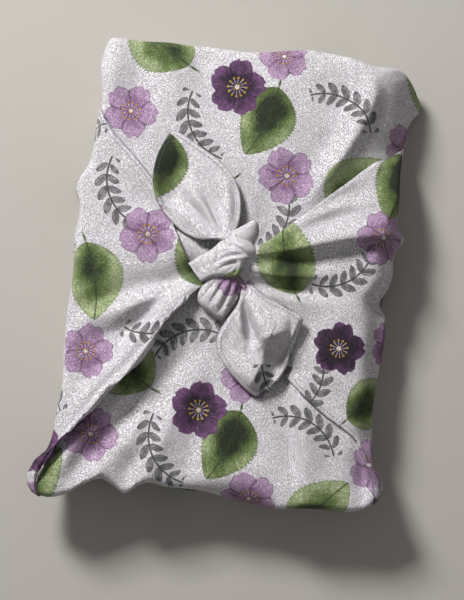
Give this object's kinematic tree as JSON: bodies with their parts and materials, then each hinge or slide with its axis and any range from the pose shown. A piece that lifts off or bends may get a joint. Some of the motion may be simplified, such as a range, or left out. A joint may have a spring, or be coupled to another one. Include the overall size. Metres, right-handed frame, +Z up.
{
  "type": "furoshiki wrap",
  "caption": "Square wrapping cloth tied diagonally round a flat box shape: two corners folded over the top, two gathered over them in a knot with two free ends.",
  "frame": {"origin": "on the surface the parcel rests on, under the middle of its bounding box", "axes": "+Z up, +Y along the parcel's length towards the end with the leaf-shaped free end, +X to the right seen from above with +Y away"},
  "size_m": [0.2066, 0.2826, 0.0634],
  "materials": {
    "printed_crepe": "matt white crepe with a scattered watercolour print in violet, leaf green and grey"
  },
  "bodies": {
    "root": {"furoshiki_cloth": "printed_crepe"}
  },
  "joints": []
}
